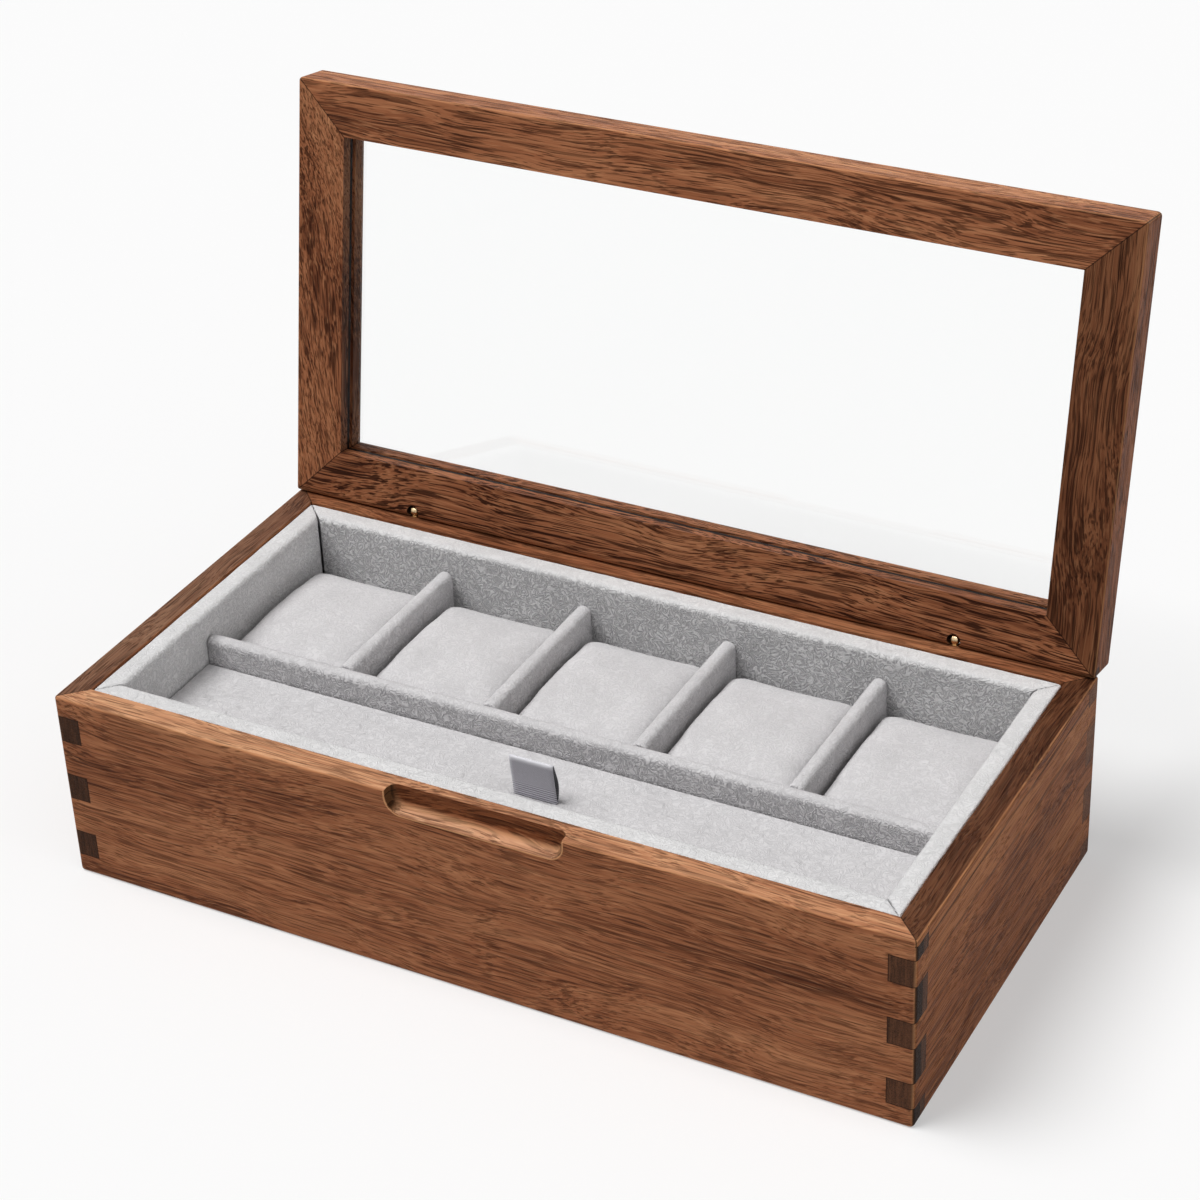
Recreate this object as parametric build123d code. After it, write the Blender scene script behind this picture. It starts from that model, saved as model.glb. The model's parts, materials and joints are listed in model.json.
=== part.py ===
"""Wooden watch box: a finger-jointed walnut case with a suede lining, five watch
cushions, a front tray with a lift-out floor, and a mitred walnut lid round a glass pane.

Millimetres. The origin is the middle of the underside. X runs to the right, Y to the
back and Z up. The lid is made closed and then turned open about its hinge axis.
"""

from build123d import *
from math import cos, radians, sqrt, tan
import os

# Case outside
case_width = 330.0
case_depth = 165.0
case_height = 76.5
wall = 9.5
corner_round = 1.6
rim_round = 1.0
foot_round = 1.4

# Finger joints, counted in fingers of the two short boards
finger_count = 3
finger_height = 10.5
finger_margin = 8.0
mitre_shoulder = 2.5

# Finger notch in the front board
notch_width = 68.0
notch_height = 8.8
notch_depth = 5.4
notch_corner = 6.0
notch_cove = 3.2
front_offset = 6.0

# Underside
base_thickness = 5.0
felt_thickness = 1.5
felt_margin = 0.8
rebate_width = 5.0

# Suede lining
liner_gap = 0.5
liner_thickness = 8.0
liner_drop = 0.4
liner_inner_round = 2.2
liner_outer_round = 0.8
floor_thickness = 3.0

# Partitions
tray_depth = 49.5
partition_thickness = 6.0
partition_drop = 10.2
partition_round = 2.4
compartment_count = 5
divider_thickness = 5.8
divider_drop = 10.7
divider_round = 2.7

# Lift-out floor of the front tray, with its pull ribbon
tray_floor_drop = 20.5
tray_floor_thickness = 3.0
tray_clearance = 0.4
cleat_width = 6.0
cleat_height = 6.0
seat_gap = 0.2
ribbon_width = 17.0
ribbon_thickness = 0.6
ribbon_height = 17.0
ribbon_bulge = 1.5
ribbon_lean = 1.5
ribbon_setback = 25.0
ribbon_tail = 9.0
slit_clearance = 0.2

# Watch cushions
cushion_side_gap = 0.9
cushion_height = 46.0
cushion_crown = 5.4
cushion_corner = 8.0
cushion_shoulder = 11.0
cushion_roll = 5.0
cushion_foot = 3.5

# Lid
lid_thickness = 16.0
rail_width = 20.0
lid_gap = 0.3
lid_round = 1.8
lid_inner_round = 0.8
window_round = 0.7
glass_thickness = 3.0
groove_depth = 4.0
glass_face_clearance = 0.1
glass_edge_clearance = 0.4

# Hinges: a ball-shaped knuckle between a stud in the case and a stud in the lid
open_angle = 100.0
axis_inset = 2.3
axis_rise = 2.5
stop_gap = 0.1
hinge_inset = 53.0
knuckle_radius = 2.0
knuckle_clearance = 0.12
tongue_thickness = 1.6
cheek_clearance = 0.05
stud_radius = 1.3
stud_length = 12.0
neck_half_width = 1.0
pin_radius = 0.6
pin_clearance = 0.05
pin_inset = 0.15
notch_clearance = 0.6
slot_clearance = 0.4

# Worked out from the sizes above
half_width = case_width / 2
half_depth = case_depth / 2
base_top = felt_thickness + base_thickness
floor_top = base_top + floor_thickness
liner_half_x = half_width - wall - liner_gap
liner_half_y = half_depth - wall - liner_gap
inner_half_x = liner_half_x - liner_thickness
inner_half_y = liner_half_y - liner_thickness
liner_top = case_height - liner_drop
partition_front = tray_depth - inner_half_y
partition_back = partition_front + partition_thickness
partition_top = case_height - partition_drop
divider_top = case_height - divider_drop
compartment_depth = inner_half_y - partition_back
dividers_width = (compartment_count - 1) * divider_thickness
compartment_width = (2 * inner_half_x - dividers_width) / compartment_count
tray_top = case_height - tray_floor_drop
tray_under = tray_top - tray_floor_thickness
ribbon_y = partition_front - ribbon_setback
ribbon_span = (front_offset - ribbon_width / 2, front_offset + ribbon_width / 2)
lid_bottom = case_height + lid_gap
lid_top = lid_bottom + lid_thickness
window_half_x = half_width - rail_width
window_half_y = half_depth - rail_width
axis_y = half_depth - axis_inset
axis_z = case_height + axis_rise
hinge_axis = Axis((0, axis_y, axis_z), (1, 0, 0))
hinge_x = half_width - hinge_inset
knuckle_reach = knuckle_radius + knuckle_clearance


def block(x_span, y_span, z_span):
    """A box between two values along each axis."""
    spans = (x_span, y_span, z_span)
    middle = [(low + high) / 2 for low, high in spans]
    return Pos(*middle) * Box(*[high - low for low, high in spans])


def upright_cylinder(radius, x, y, z_span):
    """A cylinder along Z between two heights."""
    low, high = z_span
    return Pos(x, y, (low + high) / 2) * Cylinder(radius, high - low)


def mitred_side(side, half_x, half_y, width, z_span):
    """One side of a rectangular frame, cut at 45 degrees at both ends."""
    along, across = (half_x, half_y) if side in ("front", "back") else (half_y, half_x)
    plan = Polygon(
        (-along, -across),
        (along, -across),
        (along - width, width - across),
        (width - along, width - across),
        align=None,
    )
    prism = extrude(Pos(0, 0, z_span[0]) * plan, z_span[1] - z_span[0])
    turn = {"front": 0, "right": 90, "back": 180, "left": 270}[side]
    return Rot(0, 0, turn) * prism


def finger_bands():
    """Heights between which the short boards' fingers pass through the long boards."""
    spread = case_height - 2 * finger_margin - finger_height
    pitch = spread / (finger_count - 1)
    starts = [finger_margin + pitch * i for i in range(finger_count)]
    return [(start, start + finger_height) for start in starts]


def case_form():
    """The outside that the four boards share, with its edges rounded."""
    form = block((-half_width, half_width), (-half_depth, half_depth), (0, case_height))
    form = fillet(form.edges().filter_by(Axis.Z), corner_round)
    form = fillet(form.faces().sort_by(Axis.Z)[-1].edges(), rim_round)
    return fillet(form.faces().sort_by(Axis.Z)[0].edges(), foot_round)


def base_spans():
    """The rebate under the boards that takes the base panel and its felt."""
    reach_x = half_width - wall + rebate_width
    reach_y = half_depth - wall + rebate_width
    return (-reach_x, reach_x), (-reach_y, reach_y)


def finished_board(board):
    """A board with the case's rounded outside and its part of the base rebate."""
    return (board & case_form()) - block(*base_spans(), (0, base_top))


def long_board(side):
    """Front or back board: gaps at both ends for the fingers, mitred at the rim."""
    y_span = (-half_depth, wall - half_depth) if side == "front" else (half_depth - wall, half_depth)
    shoulder = case_height - mitre_shoulder
    board = block((-half_width, half_width), y_span, (0, shoulder))
    for x_span in ((-half_width, wall - half_width), (half_width - wall, half_width)):
        for band in finger_bands():
            board -= block(x_span, y_span, band)
    board += mitred_side(side, half_width, half_depth, wall, (shoulder, case_height))
    return finished_board(board)


def short_board(side):
    """Left or right board: its fingers reach through the long boards."""
    x_span = (-half_width, wall - half_width) if side == "left" else (half_width - wall, half_width)
    shoulder = case_height - mitre_shoulder
    board = block(x_span, (wall - half_depth, half_depth - wall), (0, shoulder))
    for band in finger_bands():
        board += block(x_span, (-half_depth, half_depth), band)
    board += mitred_side(side, half_width, half_depth, wall, (shoulder, case_height))
    return finished_board(board)


def finger_notch():
    """A scooped grip with rounded lower corners and a coved back."""
    scoop = block(
        (front_offset - notch_width / 2, front_offset + notch_width / 2),
        (-half_depth - notch_depth, notch_depth - half_depth),
        (case_height - notch_height, case_height + 2 * notch_height),
    )
    lower_corners = scoop.edges().filter_by(Axis.Y).group_by(Axis.Z)[0]
    scoop = fillet(lower_corners, notch_corner)
    back_edges = scoop.faces().sort_by(Axis.Y)[-1].edges()
    return fillet(back_edges.sort_by(Axis.Z)[:-1], notch_cove)


def opened(piece):
    """A piece of the closed lid, turned with the lid to its open stop."""
    return piece.rotate(hinge_axis, -open_angle)


def stop_bevel():
    """What the rim's back edge loses so that the open lid's back face lies along it."""
    return opened(
        block(
            (-case_width, case_width),
            (axis_y, half_depth + stop_gap),
            (axis_z, axis_z + lid_thickness),
        )
    )


def stud_shank(x):
    """The shank of a case stud, which is also its bore in the back board."""
    top = axis_z - knuckle_reach
    return upright_cylinder(stud_radius, x, axis_y, (top - stud_length, top))


def fork_shank(x):
    """The shank of a lid stud, which is also its bore in the lid's back rail."""
    top = axis_z + knuckle_reach + stud_length
    return upright_cylinder(stud_radius, x, axis_y, (axis_z, top))


def cross_pin(x, radius, half_length):
    """A cylinder along the hinge axis."""
    return Pos(x, axis_y, axis_z) * Rot(0, 90, 0) * Cylinder(radius, 2 * half_length)


def hinge_stud(x):
    """Case half of a hinge: a stud with a round tongue, flush with the ball it sits in."""
    half = tongue_thickness / 2
    tongue = cross_pin(x, sqrt(knuckle_radius**2 - half**2), half)
    neck = block(
        (x - half, x + half),
        (axis_y - neck_half_width, axis_y + neck_half_width),
        (axis_z - knuckle_reach, axis_z),
    )
    stud = tongue + neck + stud_shank(x)
    return stud - cross_pin(x, pin_radius + pin_clearance, knuckle_reach)


def hinge_fork(x):
    """Lid half of a hinge: a stud whose ball is slotted to a fork round the tongue."""
    half = tongue_thickness / 2 + cheek_clearance
    slot = block(
        (x - half, x + half),
        (axis_y - knuckle_reach, axis_y + knuckle_reach),
        (axis_z - knuckle_reach, axis_z + knuckle_reach),
    )
    ball = Pos(x, axis_y, axis_z) * Sphere(knuckle_radius)
    fork = ball + fork_shank(x) - slot
    return fork - cross_pin(x, pin_radius, knuckle_reach)


def hinge_pin(x):
    return cross_pin(x, pin_radius, knuckle_radius - pin_inset)


def hinge_recess(x):
    """The notch in the lid round a knuckle, with a slot at the back for the case stud."""
    lean = radians(open_angle - 90)
    radius = knuckle_radius + notch_clearance
    half_slot = stud_radius + slot_clearance
    slot_rise = axis_inset * tan(lean) + stud_radius / cos(lean) + slot_clearance
    mouth = lid_bottom - lid_gap
    notch = upright_cylinder(radius, x, axis_y, (mouth, axis_z + radius))
    return notch + block(
        (x - half_slot, x + half_slot),
        (axis_y, half_depth + axis_inset),
        (mouth, axis_z + slot_rise),
    )


def front_panel():
    return long_board("front") - finger_notch()


def back_panel():
    board = long_board("back") - stop_bevel()
    for x in (-hinge_x, hinge_x):
        board -= stud_shank(x)
    return board


def base_panel():
    return block(*base_spans(), (felt_thickness, base_top))


def base_felt():
    x_span, y_span = [(low + felt_margin, high - felt_margin) for low, high in base_spans()]
    return block(x_span, y_span, (0, felt_thickness))


def liner_wall(side):
    """One mitred wall of the lining: a flat rim with a rounded inner edge."""
    span = (base_top, liner_top)
    form = mitred_side(side, liner_half_x, liner_half_y, liner_thickness, span)
    along = Axis.X if side in ("front", "back") else Axis.Y
    inner, outer = form.edges().filter_by(along).group_by(Axis.Z)[-1].sort_by(SortBy.LENGTH)
    form = fillet(inner, liner_inner_round)
    outer = form.edges().filter_by(along).group_by(Axis.Z)[-1].sort_by(SortBy.LENGTH)[-1]
    return fillet(outer, liner_outer_round)


def compartment_floor():
    return block(
        (-inner_half_x, inner_half_x), (-inner_half_y, inner_half_y), (base_top, floor_top)
    )


def tray_divider():
    """The long partition between the front tray and the watch compartments."""
    board = block(
        (-inner_half_x, inner_half_x), (partition_front, partition_back), (floor_top, partition_top)
    )
    return fillet(board.edges().filter_by(Axis.X).group_by(Axis.Z)[-1], partition_round)


def compartment_middle(index):
    """X of the middle of a watch compartment, counted from the left."""
    pitch = compartment_width + divider_thickness
    return (index - (compartment_count - 1) / 2) * pitch


def cross_divider(index):
    """The partition to the right of a compartment, with a rounded top."""
    left = compartment_middle(index) + compartment_width / 2
    board = block(
        (left, left + divider_thickness), (partition_back, inner_half_y), (floor_top, divider_top)
    )
    return fillet(board.edges().filter_by(Axis.Y).group_by(Axis.Z)[-1], divider_round)


def tray_cleat(side):
    """A strip on the lining's end wall that the tray floor rests on."""
    top = tray_under - seat_gap
    x_span = (-inner_half_x, cleat_width - inner_half_x)
    if side == "right":
        x_span = (inner_half_x - cleat_width, inner_half_x)
    return block(x_span, (-inner_half_y, partition_front), (top - cleat_height, top))


def tray_floor():
    """The board under the tray, with a slit for both plies of the ribbon."""
    board = block(
        (tray_clearance - inner_half_x, inner_half_x - tray_clearance),
        (tray_clearance - inner_half_y, partition_front - tray_clearance),
        (tray_under, tray_top),
    )
    half_slit = ribbon_thickness + slit_clearance
    slit = block(
        (ribbon_span[0] - slit_clearance, ribbon_span[1] + slit_clearance),
        (ribbon_y - half_slit, ribbon_y + half_slit),
        (tray_under, tray_top),
    )
    return board - slit


def ribbon_loop(cover):
    """The ribbon's teardrop opening, extruded, with a cover of ribbon round it."""
    fold_radius = ribbon_bulge / 4 + cover
    fold = (ribbon_y - ribbon_lean, tray_top + ribbon_height - ribbon_bulge / 4 - ribbon_thickness)
    belly_y = ribbon_y - ribbon_lean / 3
    belly_z = (tray_top + fold[1]) / 2
    reach = ribbon_bulge / 2 + cover
    root = cover + ribbon_thickness / 10
    plane = Plane((ribbon_span[0], 0, 0), x_dir=(0, 1, 0), z_dir=(1, 0, 0))
    with BuildSketch(plane) as area:
        with BuildLine():
            ThreePointArc(
                (ribbon_y + root, tray_top),
                (belly_y + reach, belly_z),
                (fold[0] + fold_radius, fold[1]),
            )
            ThreePointArc(
                (fold[0] + fold_radius, fold[1]),
                (fold[0], fold[1] + fold_radius),
                (fold[0] - fold_radius, fold[1]),
            )
            ThreePointArc(
                (fold[0] - fold_radius, fold[1]),
                (belly_y - reach, belly_z),
                (ribbon_y - root, tray_top),
            )
            Line((ribbon_y - root, tray_top), (ribbon_y + root, tray_top))
        make_face()
    return extrude(area.sketch, ribbon_width)


def pull_ribbon():
    """A folded ribbon: a slim loop above the floor, its two tails glued flat below."""
    legs = block(
        ribbon_span,
        (ribbon_y - ribbon_thickness, ribbon_y + ribbon_thickness),
        (tray_under, tray_top),
    )
    tails = block(
        ribbon_span,
        (ribbon_y - ribbon_tail, ribbon_y + ribbon_tail),
        (tray_under - ribbon_thickness, tray_under),
    )
    return ribbon_loop(ribbon_thickness) - ribbon_loop(0) + legs + tails


def cushion(index):
    """A watch cushion: arched from front to back, with soft edges and corners."""
    low = floor_top + seat_gap
    end_top = low + cushion_height
    top = end_top + cushion_crown
    half_x = compartment_width / 2 - cushion_side_gap
    half_y = compartment_depth / 2 - cushion_side_gap
    with BuildSketch(Plane((-half_x, 0, 0), x_dir=(0, 1, 0), z_dir=(1, 0, 0))) as end_view:
        with BuildLine():
            Polyline((half_y, end_top), (half_y, low), (-half_y, low), (-half_y, end_top))
            ThreePointArc((-half_y, end_top), (0, top), (half_y, end_top))
        make_face()
    form = extrude(end_view.sketch, 2 * half_x)
    form = fillet(form.edges().filter_by(Axis.X).group_by(Axis.Z)[-1], cushion_shoulder)
    form = fillet(form.edges().filter_by(Axis.X).group_by(Axis.Z)[0], cushion_foot)
    sides = block((-half_x, half_x), (-half_y, half_y), (low, top))
    sides = fillet(sides.edges().filter_by(Axis.Y).group_by(Axis.Z)[-1], cushion_roll)
    sides = fillet(sides.edges().filter_by(Axis.Y).group_by(Axis.Z)[0], cushion_foot)
    form &= sides
    form &= extrude(RectangleRounded(2 * half_x, 2 * half_y, cushion_corner), top)
    return Pos(compartment_middle(index), (partition_back + inner_half_y) / 2, 0) * form


def hinge_corner():
    """What the lid's hinge edge loses to be round about the hinge axis."""
    radius = axis_rise - lid_gap
    middle_y = half_depth - radius
    middle_z = lid_bottom + radius
    corner = block((-half_width, half_width), (middle_y, half_depth), (lid_bottom, middle_z))
    return corner - Pos(0, middle_y, middle_z) * Rot(0, 90, 0) * Cylinder(radius, case_width)


def lid_frame():
    """The closed lid's frame as one form, before it is cut into rails and stiles."""
    form = block((-half_width, half_width), (-half_depth, half_depth), (lid_bottom, lid_top))
    form = fillet(form.edges().filter_by(Axis.Z), corner_round)
    form = fillet(form.faces().sort_by(Axis.Z)[-1].edges(), lid_round)
    form = fillet(form.faces().sort_by(Axis.Z)[0].edges(), lid_inner_round)
    form -= hinge_corner()
    form -= block(
        (-window_half_x, window_half_x), (-window_half_y, window_half_y), (lid_bottom, lid_top)
    )
    for face in (form.faces().sort_by(Axis.Z)[0], form.faces().sort_by(Axis.Z)[-1]):
        form = fillet(face.inner_wires()[0].edges(), window_round)
    form -= glass_block(0, 0)
    for x in (-hinge_x, hinge_x):
        form -= hinge_recess(x)
        form -= fork_shank(x)
    return form


def glass_block(edge_clearance, face_clearance):
    """The space of the pane and its grooves, less a clearance."""
    reach_x = window_half_x + groove_depth - edge_clearance
    reach_y = window_half_y + groove_depth - edge_clearance
    middle = (lid_bottom + lid_top) / 2
    half_t = glass_thickness / 2 + glass_face_clearance - face_clearance
    return block((-reach_x, reach_x), (-reach_y, reach_y), (middle - half_t, middle + half_t))


def lid_side(frame, side):
    """One mitred rail or stile of the lid frame."""
    prism = mitred_side(side, half_width, half_depth, rail_width, (lid_bottom, lid_top))
    return opened(frame & prism)


def case_pieces():
    """The case, its lining and the case halves of the hinges."""
    pieces = {
        "front_panel": front_panel(),
        "back_panel": back_panel(),
        "left_panel": short_board("left"),
        "right_panel": short_board("right"),
        "base_panel": base_panel(),
        "base_felt": base_felt(),
        "compartment_floor": compartment_floor(),
        "tray_divider": tray_divider(),
        "hinge_stud_left": hinge_stud(-hinge_x),
        "hinge_stud_right": hinge_stud(hinge_x),
    }
    for side in ("front", "back", "left", "right"):
        pieces[f"liner_{side}"] = liner_wall(side)
    for side in ("left", "right"):
        pieces[f"tray_cleat_{side}"] = tray_cleat(side)
    for index in range(compartment_count - 1):
        pieces[f"divider_{index + 1}"] = cross_divider(index)
    return pieces


def loose_pieces():
    """The cushions, and the tray floor with its ribbon, which lift out."""
    pieces = {"tray_floor": tray_floor(), "pull_ribbon": pull_ribbon()}
    for index in range(compartment_count):
        pieces[f"cushion_{index + 1}"] = cushion(index)
    return pieces


def lid_pieces():
    """The lid at its open stop, with the lid halves of the hinges and their pins."""
    frame = lid_frame()
    pieces = {
        "lid_front_rail": lid_side(frame, "front"),
        "lid_back_rail": lid_side(frame, "back"),
        "lid_left_stile": lid_side(frame, "left"),
        "lid_right_stile": lid_side(frame, "right"),
        "lid_glass": opened(glass_block(glass_edge_clearance, glass_face_clearance)),
    }
    for name, x in (("left", -hinge_x), ("right", hinge_x)):
        pieces[f"hinge_fork_{name}"] = opened(hinge_fork(x))
        pieces[f"hinge_pin_{name}"] = opened(hinge_pin(x))
    return pieces


def main():
    os.makedirs("parts", exist_ok=True)
    pieces = {**case_pieces(), **loose_pieces(), **lid_pieces()}
    for name, piece in pieces.items():
        export_step(piece, f"parts/{name}.step")


main()
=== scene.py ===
"""Looks of the wooden watch box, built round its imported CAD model.

Metres, in the CAD model's frame: X runs to the right, Y to the back and Z up.
"""

import json
import math

import bmesh
import bpy
from mathutils import Matrix, Vector, geometry, noise


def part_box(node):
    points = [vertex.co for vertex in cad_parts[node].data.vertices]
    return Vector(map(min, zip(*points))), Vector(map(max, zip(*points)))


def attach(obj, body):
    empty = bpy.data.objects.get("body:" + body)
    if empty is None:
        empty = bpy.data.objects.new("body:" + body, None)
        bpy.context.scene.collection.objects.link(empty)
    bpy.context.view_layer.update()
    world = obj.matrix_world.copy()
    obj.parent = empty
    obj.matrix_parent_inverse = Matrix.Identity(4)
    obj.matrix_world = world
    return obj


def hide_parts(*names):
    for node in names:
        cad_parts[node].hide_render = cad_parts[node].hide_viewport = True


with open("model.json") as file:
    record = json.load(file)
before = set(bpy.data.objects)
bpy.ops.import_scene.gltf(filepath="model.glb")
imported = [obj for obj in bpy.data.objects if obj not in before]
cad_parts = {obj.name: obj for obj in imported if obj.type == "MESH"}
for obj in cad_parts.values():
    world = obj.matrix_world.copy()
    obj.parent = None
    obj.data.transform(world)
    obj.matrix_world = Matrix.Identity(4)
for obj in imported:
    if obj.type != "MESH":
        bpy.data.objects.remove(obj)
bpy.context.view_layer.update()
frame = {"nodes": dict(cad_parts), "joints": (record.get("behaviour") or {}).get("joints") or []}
nodes = frame["nodes"]

MM = 0.001

# Hinge axis and angle of the open lid, from the record
lid_joint = next(joint for joint in frame["joints"] if joint["name"] == "lid_hinge")
HINGE = Vector(lid_joint["pos_m"])
OPEN_ANGLE = math.radians(lid_joint["range_deg"][1])

# Case outside, from the CAD boxes
CASE_LOW, CASE_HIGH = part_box("front_panel")
HALF_WIDTH = CASE_HIGH.x
HALF_DEPTH = -CASE_LOW.y
RIM = CASE_HIGH.z

# The boards' thickness, as in the part's source
WALL = 9.5 * MM

# Finger joints: the short boards reach through the long ones in three bands
FINGER_HEIGHT = 10.5 * MM
FINGER_MARGIN = 8 * MM
FINGER_COUNT = 3
FINGER_PITCH = (RIM - 2 * FINGER_MARGIN - FINGER_HEIGHT) / (FINGER_COUNT - 1)
MITRE_SHOULDER = 2.5 * MM

# Painted shade: a dark line in the gap between lid and case, by distance from the hinge axis
HINGE_GAP_SHADE_CORE = 1.7 * MM
HINGE_GAP_SHADE_FADE = 2.3 * MM

# Painted shade: a dark line in the gap beside the glass, at the heights of the closed lid
WINDOW_HALF = Vector((145, 62.5)) * MM
GLASS_LINE = 82.6 * MM
GLASS_GAP = 1.0 * MM

# Finger notch in the front board, as in the part's source
NOTCH_SHIFT = 6 * MM
NOTCH_MIDDLE = (CASE_LOW.x + CASE_HIGH.x) / 2 + NOTCH_SHIFT
NOTCH_HALF_WIDTH = 34 * MM
NOTCH_FLOOR = RIM - 8.8 * MM
NOTCH_DEPTH = 5.4 * MM
NOTCH_CORNER = 6 * MM


# Node trees


class Tree:
    """A material's node tree, written with short calls."""

    def __init__(self, name):
        self.material = bpy.data.materials.new(name)
        self.material.use_nodes = True
        self.nodes = self.material.node_tree.nodes
        self.links = self.material.node_tree.links
        self.shader = self.nodes["Principled BSDF"]

    def node(self, kind, inputs=None, **settings):
        made = self.nodes.new(kind)
        for key, value in settings.items():
            setattr(made, key, value)
        for key, value in (inputs or {}).items():
            self.put(made.inputs[key], value)
        return made

    def put(self, socket, value):
        """Links a socket to another, or sets its value."""
        if isinstance(value, bpy.types.NodeSocket):
            self.links.new(value, socket)
        else:
            socket.default_value = value

    def math(self, operation, *values):
        made = self.node("ShaderNodeMath", operation=operation)
        for socket, value in zip(made.inputs, values):
            self.put(socket, value)
        return made.outputs[0]

    def object_point(self):
        return self.node("ShaderNodeTexCoord").outputs["Object"]

    def object_normal(self):
        return self.node("ShaderNodeTexCoord").outputs["Normal"]

    def mapped(self, vector, location=(0, 0, 0), rotation=(0, 0, 0), scale=(1, 1, 1)):
        inputs = {"Vector": vector, "Location": location, "Rotation": rotation, "Scale": scale}
        return self.node("ShaderNodeMapping", inputs).outputs[0]

    def noise(self, vector, scale=1.0, detail=2.0, roughness=0.5, distortion=0.0):
        inputs = {
            "Vector": vector,
            "Scale": scale,
            "Detail": detail,
            "Roughness": roughness,
            "Distortion": distortion,
        }
        return self.node("ShaderNodeTexNoise", inputs).outputs[0]

    def remap(self, value, low, high, to_low=0.0, to_high=1.0, smooth=False):
        kind = "SMOOTHSTEP" if smooth else "LINEAR"
        inputs = {
            "Value": value,
            "From Min": low,
            "From Max": high,
            "To Min": to_low,
            "To Max": to_high,
        }
        return self.node("ShaderNodeMapRange", inputs, interpolation_type=kind).outputs[0]

    def number_mix(self, share, first, second):
        made = self.node("ShaderNodeMix", data_type="FLOAT")
        for index, value in ((0, share), (2, first), (3, second)):
            self.put(made.inputs[index], value)
        return made.outputs[0]

    def ramp(self, value, stops):
        """Colour along a value: stops are (position, colour)."""
        made = self.node("ShaderNodeValToRGB", {"Fac": value})
        elements = made.color_ramp.elements
        while len(elements) < len(stops):
            elements.new(0.5)
        for element, (position, colour) in zip(elements, stops):
            element.position = position
            element.color = (*colour, 1)
        return made.outputs[0]

    def mix(self, share, first, second, blend="MIX"):
        made = self.node("ShaderNodeMix", data_type="RGBA", blend_type=blend)
        self.put(made.inputs[0], share)
        for socket, value in ((made.inputs[6], first), (made.inputs[7], second)):
            self.put(socket, value if isinstance(value, bpy.types.NodeSocket) else (*value, 1))
        return made.outputs[2]

    def split(self, vector):
        return self.node("ShaderNodeSeparateXYZ", {"Vector": vector}).outputs

    def join(self, x, y, z):
        return self.node("ShaderNodeCombineXYZ", {"X": x, "Y": y, "Z": z}).outputs[0]

    def bump(self, height, distance, strength):
        inputs = {"Height": height, "Distance": distance, "Strength": strength}
        return self.node("ShaderNodeBump", inputs).outputs[0]

    def surface(self, **inputs):
        """Puts values or links on the main shader: Base_Color for Base Color."""
        for key, value in inputs.items():
            self.put(self.shader.inputs[key.replace("_", " ")], value)
        return self.material


def linear(red, green, blue):
    """A colour given as 0 to 255 on a screen, in the linear values that shaders take."""

    def channel(value):
        value /= 255
        return value / 12.92 if value <= 0.04045 else ((value + 0.055) / 1.055) ** 2.4

    return channel(red), channel(green), channel(blue)


# Walnut

WALNUT_DARK = linear(98, 54, 34)
WALNUT_MID = linear(158, 99, 67)
WALNUT_LIGHT = linear(200, 140, 99)
END_DARK = linear(50, 33, 24)
END_LIGHT = linear(104, 68, 48)
PORE = linear(54, 26, 14)
# Dark hairline joints, and painted shade in the gaps by the hinge and beside the glass
SEAM_AND_GAP_SHADE = linear(20, 12, 8)
WORN = linear(222, 164, 116)
# Multipliers for the finger notch: painted shade on its walls and ends, painted light on its floor
NOTCH_WALL_SHADE = (0.62, 0.56, 0.5)
NOTCH_BED_LIGHT = (1.2, 1.36, 1.5)
NOTCH_END_SHADE = (0.2, 0.18, 0.16)

# How far the grain wanders to its sides, in millimetres
WAVER_REACH = 22
RIPPLE_REACH = 3


def closed_lid_point(tree, point):
    """The same point with the lid turned back to closed."""
    turn = Matrix.Rotation(OPEN_ANGLE, 3, "X")
    return tree.mapped(point, location=HINGE - turn @ HINGE, rotation=(OPEN_ANGLE, 0, 0))


def mitre_distance(tree, x, y):
    """Distance to the mitre lines that run in from the four corners."""
    across = tree.math("ABSOLUTE", x)
    depth = tree.math("ABSOLUTE", y)
    corner = HALF_WIDTH - HALF_DEPTH
    offset = tree.math("SUBTRACT", tree.math("SUBTRACT", across, depth), corner)
    return tree.math("MULTIPLY", tree.math("ABSOLUTE", offset), math.sqrt(0.5))


def finger_distance(tree, x, y, z, facing_side):
    """Distance to the fingers' outlines on the case's upright faces."""
    first = FINGER_MARGIN + FINGER_HEIGHT / 2
    offset = tree.math("SUBTRACT", z, first)
    band = tree.math("ABSOLUTE", tree.math("WRAP", offset, FINGER_PITCH / 2, -FINGER_PITCH / 2))
    beyond = tree.math("SUBTRACT", band, FINGER_HEIGHT / 2)
    to_line = tree.math("ABSOLUTE", beyond)
    short_of_front = tree.math("SUBTRACT", HALF_WIDTH - WALL, tree.math("ABSOLUTE", x))
    short_of_side = tree.math("SUBTRACT", HALF_DEPTH - WALL, tree.math("ABSOLUTE", y))
    front = tree.math(
        "MINIMUM",
        tree.math("MAXIMUM", to_line, short_of_front),
        tree.math("MAXIMUM", tree.math("ABSOLUTE", short_of_front), beyond),
    )
    shoulder = tree.math("ABSOLUTE", tree.math("SUBTRACT", z, RIM - MITRE_SHOULDER))
    lines = tree.math("MINIMUM", to_line, shoulder)
    side = tree.math(
        "MINIMUM",
        tree.math("MAXIMUM", lines, short_of_side),
        tree.math(
            "MAXIMUM",
            tree.math("ABSOLUTE", short_of_side),
            tree.math("MULTIPLY", beyond, -1),
        ),
    )
    return tree.number_mix(facing_side, front, side)


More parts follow.
